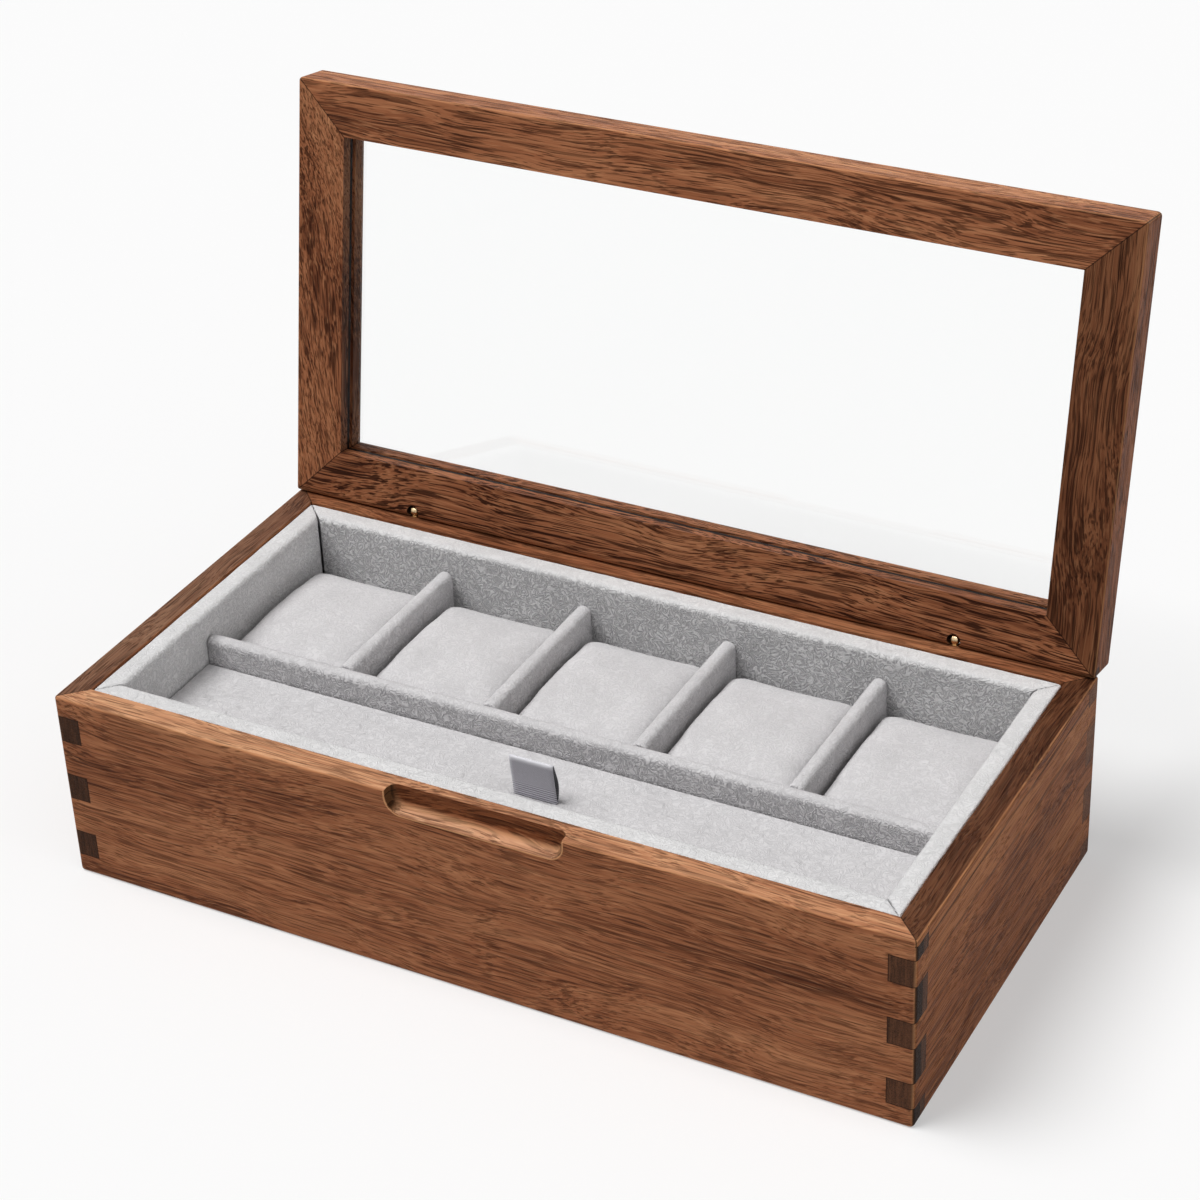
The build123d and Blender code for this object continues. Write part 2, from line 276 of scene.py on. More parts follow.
def notch_distance(tree, x, z):
    """Distance outward from the finger notch's outline on the front face."""
    beside = tree.math("ABSOLUTE", tree.math("SUBTRACT", x, NOTCH_MIDDLE))
    beside = tree.math("SUBTRACT", beside, NOTCH_HALF_WIDTH - NOTCH_CORNER)
    below = tree.math("SUBTRACT", NOTCH_FLOOR + NOTCH_CORNER, z)
    corner_x = tree.math("MAXIMUM", beside, 0)
    corner_z = tree.math("MAXIMUM", below, 0)
    squares = tree.math("MULTIPLY_ADD", corner_x, corner_x, tree.math("POWER", corner_z, 2))
    inner = tree.math("MINIMUM", tree.math("MAXIMUM", beside, below), 0)
    outline = tree.math("ADD", tree.math("SQRT", squares), inner)
    return tree.math("SUBTRACT", outline, NOTCH_CORNER)


def notch_look(tree, colour, x, y, z, upward, sideways):
    """Painted shade on the finger notch's walls and ends, painted light on its floor, and a rubbed
    outline.
    """
    outline = tree.math("ABSOLUTE", notch_distance(tree, x, z))
    rubbed = tree.remap(outline, 0.25 * MM, 0.65 * MM, 0.85, 0.0, smooth=True)
    rubbed = tree.math("MULTIPLY", rubbed, tree.math("LESS_THAN", upward, 0.5))
    colour = tree.mix(rubbed, colour, WORN)
    depth = tree.math("ADD", y, HALF_DEPTH)
    inside = tree.remap(depth, 0.2 * MM, 0.6 * MM)
    inside = tree.math("MULTIPLY", inside, tree.remap(depth, NOTCH_DEPTH + 0.5 * MM, NOTCH_DEPTH))
    inside = tree.math("MULTIPLY", inside, tree.math("LESS_THAN", z, RIM - 0.3 * MM))
    shade = tree.mix(tree.remap(upward, 0.1, 0.75), NOTCH_WALL_SHADE, NOTCH_BED_LIGHT)
    shade = tree.mix(tree.remap(sideways, 0.25, 0.75), shade, NOTCH_END_SHADE)
    return tree.mix(inside, colour, tree.mix(1.0, colour, shade, "MULTIPLY"))


def walnut(
    name,
    along,
    seed,
    lid=False,
    tone=1.0,
    rim=None,
    rim_shading_fade=1.0,
    flank_shading=None,
    reveal_shade=None,
    slant=0.0,
    coarse=1.0,
    bold=1.0,
    end_share=1.0,
    end_tone=1.0,
    lines=(),
    notch=False,
):
    """Oiled walnut with its grain along X or Y, pores, streaks and darker end grain.

    tone scales the whole board's colour, partly for the board's own colour and partly as
    painted light and shade. The rim, flank and reveal settings scale the colour of the
    upper face, of the faces to left and right and of the faces inside the lid's window:
    painted light and shade for how those faces are lit. The rim's fade says how much of
    rim stays at the board's right end. slant leans the grain, coarse widens it and bold
    strengthens its dark strokes. end_share and end_tone say how much of the end grain
    shows and how bright it is. lines are long dark grain lines, each as (height, strength).
    """
    tree = Tree(name)
    point = tree.object_point()
    normal = tree.object_normal()
    upward = tree.split(normal)[2]
    if lid:
        point = closed_lid_point(tree, point)
        normal = tree.mapped(normal, rotation=(OPEN_ANGLE, 0, 0))
    x, y, z = tree.split(point)
    facing = [tree.math("ABSOLUTE", value) for value in tree.split(normal)]
    grain, across = (x, y) if along == "X" else (y, x)
    end = tree.remap(facing[0 if along == "X" else 1], 0.62, 0.78)

    # Millimetres along the grain, and two ways across it
    run = tree.math("MULTIPLY_ADD", grain, 1000, seed * 613.0)
    side = tree.math("MULTIPLY_ADD", across, 1000, seed * 97.0)
    rise = tree.math("MULTIPLY_ADD", z, 1000, seed * 41.0)
    rise = tree.math("MULTIPLY_ADD", run, slant, rise)
    side = tree.math("MULTIPLY_ADD", run, slant, side)
    board = tree.join(run, side, rise)

    # Slow waver of the grain, and a small ripple on it
    waver = tree.noise(tree.mapped(board, scale=(0.009, 0.022, 0.022)), detail=2)
    waver = tree.math("MULTIPLY", tree.math("SUBTRACT", waver, 0.5), WAVER_REACH)
    ripple = tree.noise(tree.mapped(board, scale=(0.022, 0.07, 0.07)), detail=1)
    ripple = tree.math("MULTIPLY", tree.math("SUBTRACT", ripple, 0.5), RIPPLE_REACH * coarse)
    drift = tree.math("ADD", waver, ripple)
    wavy = tree.join(run, tree.math("ADD", side, drift), tree.math("ADD", rise, drift))

    # Broad soft bands, finer streaks and the fibres themselves
    fine = 1 / coarse
    bands = tree.noise(tree.mapped(wavy, scale=(0.006, 0.06, 0.06)), detail=2, roughness=0.5)
    streaks = tree.noise(tree.mapped(wavy, scale=(0.009, 0.33, 0.33)), detail=3, roughness=0.6)
    fibre_place = tree.mapped(wavy, scale=(0.021, fine, fine))
    fibres = tree.noise(fibre_place, detail=2, roughness=0.6)
    figure = tree.math("MULTIPLY_ADD", streaks, 0.36, tree.math("MULTIPLY", bands, 0.72))
    figure = tree.math("MULTIPLY_ADD", fibres, 0.42, figure)
    colour = tree.ramp(
        tree.remap(figure, 0.54, 0.99),
        [
            (0.0, WALNUT_DARK),
            (0.42, WALNUT_MID),
            (0.74, [0.6 * a + 0.4 * b for a, b in zip(WALNUT_MID, WALNUT_LIGHT)]),
            (1.0, WALNUT_LIGHT),
        ],
    )

    # Long dark strokes, short pores and thin pale fibres, all along the grain
    stroke_place = tree.mapped(wavy, scale=(0.026, 1.05 * fine, 1.05 * fine))
    strokes = tree.noise(stroke_place, detail=1, roughness=0.6)
    strokes = tree.remap(strokes, 0.52, 0.62, smooth=True)
    strokes = tree.math("MULTIPLY", strokes, tree.remap(bands, 0.62, 0.42, 0.5, 1.0))
    pore = tree.noise(tree.mapped(wavy, scale=(0.07, 2.1 * fine, 2.1 * fine)), detail=1)
    pore = tree.remap(pore, 0.55, 0.63, smooth=True)
    pale = tree.noise(tree.mapped(wavy, scale=(0.045, 1.5, 1.5), location=(31, 17, 5)), detail=2)
    pale = tree.remap(pale, 0.54, 0.64, smooth=True)
    colour = tree.mix(tree.math("MULTIPLY", pale, 0.38), colour, WALNUT_LIGHT)
    colour = tree.mix(tree.math("MULTIPLY", strokes, 0.58 * bold), colour, PORE)
    colour = tree.mix(tree.math("MULTIPLY", pore, 0.5 * bold), colour, PORE)
    for level, strength in lines:
        offset = tree.math("MULTIPLY_ADD", drift, 0.12 * MM, tree.math("SUBTRACT", z, level))
        line = tree.remap(tree.math("ABSOLUTE", offset), 0.35 * MM, 0.85 * MM, strength, 0.0)
        broken = tree.remap(tree.noise(tree.join(run, level * 1000, 0), scale=0.02), 0.25, 0.42)
        colour = tree.mix(tree.math("MULTIPLY", line, broken), colour, PORE)

    # End grain: fine upright lines and dots, much darker
    dots = tree.noise(board, scale=2.2, detail=2, roughness=0.6)
    rings = tree.noise(tree.mapped(board, scale=(0.05, 1.1, 0.09)), detail=3, distortion=0.6)
    end_shade = tree.math("MULTIPLY_ADD", dots, 0.45, tree.math("MULTIPLY", rings, 0.55))
    end_colour = tree.ramp(tree.remap(end_shade, 0.34, 0.7), [(0, END_DARK), (1, END_LIGHT)])
    end_colour = tree.mix(1.0, end_colour, (end_tone,) * 3, "MULTIPLY")
    colour = tree.mix(tree.math("MULTIPLY", end, end_share), colour, end_colour)
    # The board's tone: partly its own colour, partly painted light and shade
    if tone != 1.0:
        colour = tree.mix(1.0, colour, (tone,) * 3, "MULTIPLY")
    # Painted light and shade on the upper face, fading towards the board's right end
    if rim is not None:
        kept = tree.remap(x, 0, HALF_WIDTH, 1.0, rim_shading_fade)
        share = tree.math("MULTIPLY", tree.remap(upward, 0.75, 0.95), kept)
        colour = tree.mix(share, colour, rim, "MULTIPLY")
    # Painted light and shade on the faces to left and right
    if flank_shading is not None:
        colour = tree.mix(tree.remap(facing[0], 0.6, 0.9), colour, flank_shading, "MULTIPLY")

    # Edges rubbed lighter, painted shade in the hinge gap and beside the glass, and hairline joints
    steepest = tree.math("MAXIMUM", tree.math("MAXIMUM", facing[0], facing[1]), facing[2])
    worn = tree.remap(steepest, 0.97, 0.8, 0.0, 0.3)
    colour = tree.mix(worn, colour, WORN)
    # The finger notch: painted shade on its walls and ends, painted light on its floor, and a
    # rubbed outline
    if notch:
        colour = notch_look(tree, colour, x, y, z, upward, facing[0])
    # Painted shade in the gap between lid and case, near the hinge axis
    hinge_y = tree.math("SUBTRACT", y, HINGE.y)
    hinge_z = tree.math("SUBTRACT", z, HINGE.z)
    reach = tree.math("MULTIPLY_ADD", hinge_y, hinge_y, tree.math("MULTIPLY", hinge_z, hinge_z))
    hinge_gap_shade = tree.remap(tree.math("SQRT", reach), HINGE_GAP_SHADE_CORE, HINGE_GAP_SHADE_FADE, 0.8, 0.0, smooth=True)
    colour = tree.mix(hinge_gap_shade, colour, SEAM_AND_GAP_SHADE)
    mitre = mitre_distance(tree, x, y)
    if lid:
        window = tree.math("LESS_THAN", facing[2], 0.5)
        for place, half in ((x, WINDOW_HALF.x), (y, WINDOW_HALF.y)):
            within = tree.math("LESS_THAN", tree.math("ABSOLUTE", place), half + 1 * MM)
            window = tree.math("MULTIPLY", window, within)
        # Painted shade on the faces inside the lid's window
        if reveal_shade is not None:
            colour = tree.mix(window, colour, reveal_shade, "MULTIPLY")
        # Painted shade in the gap beside the glass
        glass_gap_shade = tree.math("ABSOLUTE", tree.math("SUBTRACT", z, GLASS_LINE))
        glass_gap_shade = tree.remap(glass_gap_shade, GLASS_GAP, GLASS_GAP + 0.2 * MM, 1.0, 0.0)
        colour = tree.mix(tree.math("MULTIPLY", glass_gap_shade, window), colour, SEAM_AND_GAP_SHADE)
        seam = mitre
    else:
        mitre = tree.math("ADD", mitre, tree.math("LESS_THAN", z, RIM - MITRE_SHOULDER))
        facing_side = tree.math("GREATER_THAN", facing[0], 0.5)
        fingers = finger_distance(tree, x, y, z, facing_side)
        fingers = tree.math("ADD", fingers, tree.math("GREATER_THAN", facing[2], 0.6))
        seam = tree.math("MINIMUM", mitre, fingers)
    seam = tree.remap(seam, 0.06 * MM, 0.3 * MM, 0.8, 0.0)
    colour = tree.mix(seam, colour, SEAM_AND_GAP_SHADE)

    height = tree.math("MULTIPLY_ADD", strokes, -0.6, tree.math("MULTIPLY", fibres, 0.7))
    height = tree.math("MULTIPLY_ADD", pore, -0.7, height)
    rough = tree.math("MULTIPLY_ADD", pore, 0.16, tree.math("MULTIPLY_ADD", streaks, 0.12, 0.4))
    return tree.surface(
        Base_Color=colour,
        Roughness=rough,
        Specular_IOR_Level=0.05,
        Normal=tree.bump(height, 0.2 * MM, 0.9),
    )


# Suede, ribbon, metal, glass and the underside

SUEDE = linear(218, 216, 217)
SUEDE_SHADE = linear(194, 192, 193)
# Painted shade for the nap's hollows, strongest on upright faces
SUEDE_HOLLOW_SHADE = linear(112, 109, 116)
# A paler copy of the suede for the lining walls: painted light, as they stand higher in the light
# than the floors and partitions
RIM_SUEDE_LIT = linear(228, 227, 227)
RIM_SUEDE_LIT_SHADE = linear(208, 207, 207)
SUEDE_RELIEF = 0.4 * MM
CURL_TURNS = 30


def suede(name, seed, light=SUEDE, shade=SUEDE_SHADE, nap=1.0):
    """Brushed suede: nap in short curls, in its colour and relief, and a soft sheen.

    The curls show most on the faces to front and back, and least on level ones. Painted
    shade darkens their hollows, most on the upright faces.
    """
    tree = Tree(name)
    point = tree.mapped(tree.object_point(), location=(seed, seed / 3, 0), scale=(1000,) * 3)
    facing = [tree.math("ABSOLUTE", part) for part in tree.split(tree.object_normal())]
    upright = tree.remap(facing[2], 0.9, 0.25)
    upright = tree.math("MULTIPLY", upright, tree.remap(facing[1], 0.3, 0.9, 0.4, 1.0))
    swirl = tree.noise(point, scale=0.36, detail=0, distortion=1.0)
    curls = tree.math("SINE", tree.math("MULTIPLY", swirl, CURL_TURNS))
    tufts = tree.noise(point, scale=1.3, detail=2, roughness=0.6, distortion=1.4)
    tufts = tree.remap(tufts, 0.32, 0.68)
    brushed = tree.noise(point, scale=0.07, detail=2, roughness=0.5)
    relief = tree.math("MULTIPLY_ADD", curls, 0.3, tree.math("MULTIPLY", tufts, 0.28))
    colour = tree.mix(tree.remap(relief, -0.2, 0.4, 0.6, 1.0), shade, light)
    colour = tree.mix(tree.remap(brushed, 0.35, 0.7, 0.0, 0.4), colour, shade)
    # Painted shade in the nap's hollows, stronger on upright faces, where grazing light would fall
    hollow_shade = tree.remap(relief, 0.35, -0.2)
    hollow_shade = tree.math("MULTIPLY", hollow_shade, tree.remap(upright, 0, 1, 0.07, 0.5))
    colour = tree.mix(hollow_shade, colour, SUEDE_HOLLOW_SHADE)
    relief = tree.math("MULTIPLY", relief, tree.remap(upright, 0, 1, 0.5, 1.1))
    return tree.surface(
        Base_Color=colour,
        Roughness=0.92,
        Specular_IOR_Level=0.12,
        Sheen_Weight=0.12,
        Sheen_Roughness=0.5,
        Normal=tree.bump(relief, SUEDE_RELIEF * nap, 1.0),
    )


RIBBON_DARK = linear(112, 110, 118)
RIBBON_LIGHT = linear(210, 208, 217)
# Painted shade for the inside of the loop
RIBBON_INSIDE_SHADE = linear(34, 33, 36)
# Painted highlight for the fold
RIBBON_FOLD_HIGHLIGHT = linear(240, 239, 244)

# Millimetres, the heights counted from the tray floor
RIB_PITCH = 0.95
RIBBED_PART = 4.5
THREAD_PITCH = 0.7
WEFT_PITCH = 0.62
FOLD_START = 14.5
FOLD_FULL = 16.2
INSIDE_START = 1.0
LEAN_AT_TOP = 1.45
LEAN_HEIGHT = 16


def ribbon_material():
    """Grey grosgrain ribbon: fine threads, ribs crowded together above the tray floor,
    a painted highlight on the fold and painted shade on the inside of the loop.
    """
    tree = Tree("ribbon_ribbed")
    point = tree.mapped(tree.object_point(), scale=(1000,) * 3)
    x, y, z = tree.split(point)
    above = tree.math("SUBTRACT", z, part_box("tray_floor")[1].z / MM)
    ribs = tree.math("SINE", tree.math("MULTIPLY", above, 2 * math.pi / RIB_PITCH))
    ribs = tree.math("MULTIPLY", ribs, tree.remap(above, RIBBED_PART + 2, RIBBED_PART, smooth=True))
    weave = tree.math("SINE", tree.math("MULTIPLY", x, 2 * math.pi / THREAD_PITCH))
    slope = tree.math("ADD", z, y)
    weft = tree.math("SINE", tree.math("MULTIPLY", slope, 2 * math.pi / WEFT_PITCH))
    weave = tree.math("MULTIPLY", weave, weft)
    threads = tree.noise(tree.mapped(point, scale=(3, 1, 3)), detail=1)
    height = tree.math("MULTIPLY_ADD", weave, 0.12, tree.math("MULTIPLY", threads, 0.35))
    height = tree.math("MULTIPLY_ADD", ribs, 0.5, height)
    colour = tree.mix(tree.remap(height, -0.3, 0.6), RIBBON_DARK, RIBBON_LIGHT)
    # Painted highlight along the fold at the top
    fold_highlight = tree.remap(above, FOLD_START, FOLD_FULL, 0.0, 0.75, smooth=True)
    colour = tree.mix(fold_highlight, colour, RIBBON_FOLD_HIGHLIGHT)
    # Painted shade on the inside of the loop: the rear ply's faces that look forward
    ribbon_low, ribbon_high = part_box("pull_ribbon")
    behind = tree.math("SUBTRACT", y, (ribbon_low.y + ribbon_high.y) / 2 / MM)
    squared = tree.math("MULTIPLY", above, above)
    leaning = tree.math("MULTIPLY", squared, LEAN_AT_TOP / LEAN_HEIGHT**2)
    behind = tree.math("GREATER_THAN", tree.math("ADD", behind, leaning), 0)
    forward = tree.math("LESS_THAN", tree.split(tree.object_normal())[1], -0.2)
    inside = tree.math("MULTIPLY", behind, forward)
    inside = tree.math("MULTIPLY", inside, tree.math("GREATER_THAN", above, INSIDE_START))
    colour = tree.mix(tree.math("MULTIPLY", inside, 0.9), colour, RIBBON_INSIDE_SHADE)
    return tree.surface(
        Base_Color=colour,
        Roughness=0.42,
        Specular_IOR_Level=0.4,
        Sheen_Weight=0.3,
        Normal=tree.bump(height, 0.25 * MM, 0.8),
    )


def brass():
    """Polished brass, a little dulled and scratched."""
    tree = Tree("brass_polished")
    point = tree.mapped(tree.object_point(), scale=(1000,) * 3)
    tarnish = tree.noise(point, scale=0.9, detail=3)
    scratches = tree.noise(tree.mapped(point, scale=(9, 1.2, 9)), detail=2)
    colour = tree.mix(tree.remap(tarnish, 0.35, 0.7), linear(226, 202, 164), linear(190, 164, 124))
    return tree.surface(
        Base_Color=colour,
        Metallic=1.0,
        Roughness=tree.remap(tarnish, 0.3, 0.7, 0.16, 0.34),
        Normal=tree.bump(scratches, 0.01 * MM, 0.5),
    )


def glass():
    """Clear float glass with a breath of smear."""
    tree = Tree("glass_clear")
    point = tree.mapped(tree.object_point(), scale=(1000,) * 3)
    smear = tree.noise(point, scale=0.02, detail=3, roughness=0.6)
    return tree.surface(
        Base_Color=(0.985, 0.99, 0.988, 1),
        Transmission_Weight=1.0,
        IOR=1.45,
        Roughness=tree.remap(smear, 0.4, 0.8, 0.0, 0.03),
    )


def plywood():
    """Sanded birch plywood."""
    tree = Tree("plywood_birch")
    point = tree.mapped(tree.object_point(), scale=(1000,) * 3)
    figure = tree.noise(tree.mapped(point, scale=(0.012, 0.18, 0.5)), detail=4, roughness=0.55)
    fibre = tree.noise(tree.mapped(point, scale=(0.07, 2.2, 2.2)), detail=2)
    shade = tree.math("MULTIPLY_ADD", fibre, 0.35, tree.math("MULTIPLY", figure, 0.65))
    colour = tree.mix(tree.remap(shade, 0.3, 0.7), linear(150, 118, 84), linear(196, 164, 124))
    return tree.surface(
        Base_Color=colour, Roughness=0.62, Normal=tree.bump(fibre, 0.05 * MM, 0.5)
    )


def felt():
    """Dark grey pressed felt."""
    tree = Tree("felt_pressed")
    point = tree.mapped(tree.object_point(), scale=(1000,) * 3)
    fuzz = tree.noise(point, scale=1.4, detail=4, roughness=0.7, distortion=2.0)
    colour = tree.mix(tree.remap(fuzz, 0.3, 0.7), linear(58, 57, 60), linear(98, 96, 99))
    return tree.surface(
        Base_Color=colour,
        Roughness=1.0,
        Specular_IOR_Level=0.05,
        Sheen_Weight=0.4,
        Normal=tree.bump(fuzz, 0.4 * MM, 0.8),
    )


# Walnut boards: the CAD shapes with their own grain

# The tone, rim, flank and reveal settings are painted light and shade, set per board for how it is
# lit; tone also carries the board's own colour
BOARDS = {
    "front_panel": dict(
        along="X", seed=1.37, tone=1.04, rim=(1.4, 1.75, 2.0), rim_shading_fade=0.5, notch=True
    ),
    "back_panel": dict(along="X", seed=2.71, rim=(0.8, 0.8, 0.8), end_share=0.65),
    "left_panel": dict(along="Y", seed=3.13, rim=(0.5, 0.6, 0.75), end_tone=0.8),
    "right_panel": dict(
        along="Y",
        seed=4.59,
        rim=(0.34, 0.35, 0.37),
        flank_shading=(0.86, 0.77, 0.58),
        coarse=0.72,
        end_tone=1.35,
        lines=((70.5 * MM, 0.7), (59 * MM, 0.5), (41 * MM, 0.45)),
    ),
    "lid_front_rail": dict(
        along="X", seed=5.21, lid=True, tone=1.06, coarse=1.15, bold=1.35, rim=(1.15, 1.2, 1.22)
    ),
    "lid_back_rail": dict(along="X", seed=6.83, lid=True, tone=0.93, coarse=1.15, bold=1.7),
    "lid_left_stile": dict(
        along="Y",
        seed=7.41,
        lid=True,
        tone=0.98,
        reveal_shade=(0.5, 0.55, 0.6),
        slant=-0.24,
        coarse=1.15,
        bold=1.3,
    ),
    "lid_right_stile": dict(
        along="Y", seed=8.77, lid=True, tone=0.54, coarse=1.1, bold=1.25, flank_shading=(1.28, 1.1, 0.88)
    ),
}


def finish_node(name, material):
    """Puts a material on a CAD node."""
    node = nodes[name]
    if not node.material_slots:
        node.data.materials.append(material)
    for place in node.material_slots:
        place.material = material


for board, look in BOARDS.items():
    finish_node(board, walnut(f"walnut_{board}", **look))

brass_look = brass()
plywood_look = plywood()
for side in ("left", "right"):
    finish_node(f"tray_cleat_{side}", plywood_look)
    for piece in ("stud", "fork", "pin"):
        finish_node(f"hinge_{piece}_{side}", brass_look)
finish_node("base_panel", plywood_look)
finish_node("base_felt", felt())
finish_node("lid_glass", glass())

# Lamps and bounced light pass the pane as if it weren't there, so nothing is lit twice
nodes["lid_glass"].visible_shadow = False
nodes["lid_glass"].visible_diffuse = False


# Suede-covered boards

ARC_STEPS = 6
SEAM_ROLL = 0.8 * MM
SEAM_SHY = 0.18 * MM
BOARD_STEP = 3.5 * MM

# Unevenness of the covers in millimetres, and where each piece's pattern starts
COVER_SWELL = 0.11
COVER_PUCKER = 0.05
LINER_SEED = 1.0
PARTITION_SEED = 6.0
TRAY_SEED = 9.0
CUSHION_SEED = 20.0


def add_piece(name, mesh, material, body, replaced):
    """Links a finished mesh as a piece that stands for CAD nodes and rides on a body."""
    piece = bpy.data.objects.new(name, mesh)
    bpy.context.scene.collection.objects.link(piece)
    mesh.materials.append(material)
    for polygon in mesh.polygons:
        polygon.use_smooth = True
    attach(piece, body)
    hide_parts(*replaced)
    return piece


def rounded_outline(corners, step):
    """Points round a right-angled outline; corners are (across, height, radius)."""
    arcs = []
    for index, (across, height, radius) in enumerate(corners):
        here = Vector((across, height))
        back = (Vector(corners[index - 1][:2]) - here).normalized()
        ahead = (Vector(corners[(index + 1) % len(corners)][:2]) - here).normalized()
        centre = here + (back + ahead) * radius
        for stage in range(ARC_STEPS + 1):
            angle = stage / ARC_STEPS * math.pi / 2
            arcs.append(centre - ahead * radius * math.cos(angle) - back * radius * math.sin(angle))
    points = []
    for index, point in enumerate(arcs):
        following = arcs[(index + 1) % len(arcs)]
        count = max(1, math.ceil((following - point).length / step))
        points += [point.lerp(following, part / count) for part in range(count)]
    return points


def outline_normals(points):
    """Directions that point outward at each point of an outline."""
    normals = []
    for index in range(len(points)):
        along = points[(index + 1) % len(points)] - points[index - 1]
        normals.append(Vector((along.y, -along.x)).normalized())
    return normals


def fabric_relief(point, seed):
    """How far the cover stands off its board at a point: a slight unevenness."""
    place = point / MM + Vector((seed * 31.7, seed * 11.3, 0))
    swell = COVER_SWELL * noise.noise(place / 10)
    return (swell + COVER_PUCKER * noise.noise(place / 3.3)) * MM


def end_rows(length, step):
    """Distances along a board, close together at its rolled ends."""
    roll = [0, 0.12, 0.35, 0.65, 1]
    near = [SEAM_ROLL * part for part in roll]
    inner = length - 2 * SEAM_ROLL
    count = max(2, round(inner / step))
    middle = [SEAM_ROLL + inner * part / count for part in range(1, count)]
    return near + middle + [length - distance for distance in reversed(near)]


def closed_band(rings, name):
    """A closed mesh through rings of points, capped at both ends."""
    mesh = bmesh.new()
    rows = [[mesh.verts.new(point) for point in ring] for ring in rings]
    count = len(rows[0])
    for row, following in zip(rows, rows[1:]):
        for index in range(count):
            beside = (index + 1) % count
            mesh.faces.new((row[index], row[beside], following[beside], following[index]))
    mesh.faces.new(rows[0])
    mesh.faces.new(list(reversed(rows[-1])))
    bmesh.ops.recalc_face_normals(mesh, faces=mesh.faces)
    made = bpy.data.meshes.new(name)
    mesh.to_mesh(made)
    mesh.free()
    return made


def wrapped_board(outline, origin, along, across, reach, seed):
    """A board in a suede cover: the outline drawn along a length, with rolled ends.

    reach gives the board's start and end along its length at a distance across it.
    """
    normals = outline_normals(outline)
    length = reach(0)[1] - reach(0)[0]
    rows = []
    for distance in end_rows(length, BOARD_STEP):
        near_end = min(distance, length - distance)
        share = max(0, 1 - near_end / SEAM_ROLL)
        inset = SEAM_ROLL * (1 - math.sqrt(max(0, 1 - share * share)))
        row = []
        for place, normal in zip(outline, normals):
            start, end = reach(place.x)
            run = start + (end - start) * distance / length
            flat = origin + along * run + across * place.x + Vector((0, 0, place.y))
            outward = across * normal.x + Vector((0, 0, normal.y))
            row.append(flat + outward * (fabric_relief(flat, seed) - inset))
        rows.append(row)
    return closed_band(rows, "wrapped_board")


LINER_INNER_ROUND = 2.2 * MM
LINER_OUTER_ROUND = 1.0 * MM
DIVIDER_ROUND = 2.6 * MM
HIDDEN_ROUND = 0.4 * MM
OUTLINE_STEP = 4 * MM
SIDES = {
    "front": (Vector((1, 0, 0)), Vector((0, 1, 0))),
    "back": (Vector((-1, 0, 0)), Vector((0, -1, 0))),
    "left": (Vector((0, -1, 0)), Vector((1, 0, 0))),
    "right": (Vector((0, 1, 0)), Vector((-1, 0, 0))),
}


def liner_board(side, seed):
    """One mitred wall of the lining, from the box of its CAD node."""
    along, across = SIDES[side]
    low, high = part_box(f"liner_{side}")
    size = high - low
    half_length = abs(along.dot(size)) / 2
    thickness = abs(across.dot(size))
    outer = low if across.dot(Vector((1, 1, 0))) > 0 else high
    origin = across * across.dot(outer)
    outline = rounded_outline(
        [
            (0, low.z, HIDDEN_ROUND),
            (thickness, low.z, HIDDEN_ROUND),
            (thickness, high.z, LINER_INNER_ROUND),
            (0, high.z, LINER_OUTER_ROUND),
        ],
        OUTLINE_STEP,
    )

    def reach(distance):
        end = half_length - distance - SEAM_SHY
        return -end, end

    mesh = wrapped_board(outline, origin, along, across, reach, seed)
    add_piece(f"lining_{side}", mesh, rim_lit_look, "case", [f"liner_{side}"])


def partition_board(node, along, across, seed):
    """A partition with a rounded top, from the box of its CAD node."""
    low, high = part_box(node)
    size = high - low
    half = abs(across.dot(size)) / 2
    origin = Vector(((low.x + high.x) / 2, (low.y + high.y) / 2, 0))
    end = abs(along.dot(size)) / 2 - SEAM_SHY
    outline = rounded_outline(
        [
            (-half, low.z, HIDDEN_ROUND),
            (half, low.z, HIDDEN_ROUND),
            (half, high.z, DIVIDER_ROUND),
            (-half, high.z, DIVIDER_ROUND),
        ],
        OUTLINE_STEP,
    )
    mesh = wrapped_board(outline, origin, along, across, lambda distance: (-end, end), seed)
    add_piece(f"{node}_suede", mesh, lining_look, "case", [node])


TRAY_EDGE_ROUND = 1.0 * MM
TRAY_STEP = 3 * MM
SLIT_HALF = 0.8 * MM
SLIT_SIDE = 0.2 * MM


def spread(start, end, step):
    """Evenly spaced values from start to end."""
    count = max(1, round((end - start) / step))
    return [start + (end - start) * part / count for part in range(count)] + [end]


def edge_lines(low, high, inner):
    """Grid lines along one axis: close together at the rims, and at the slit's edges."""
    near = [0, 0.12, 0.4, 0.75, 1]
    lines = [low + TRAY_EDGE_ROUND * part for part in near]
    lines += spread(lines[-1], inner[0], TRAY_STEP)[1:]
    lines += spread(inner[0], inner[1], TRAY_STEP)[1:]
    lines += spread(inner[1], high - TRAY_EDGE_ROUND, TRAY_STEP)[1:]
    return lines + [high - TRAY_EDGE_ROUND * part for part in reversed(near[:-1])]


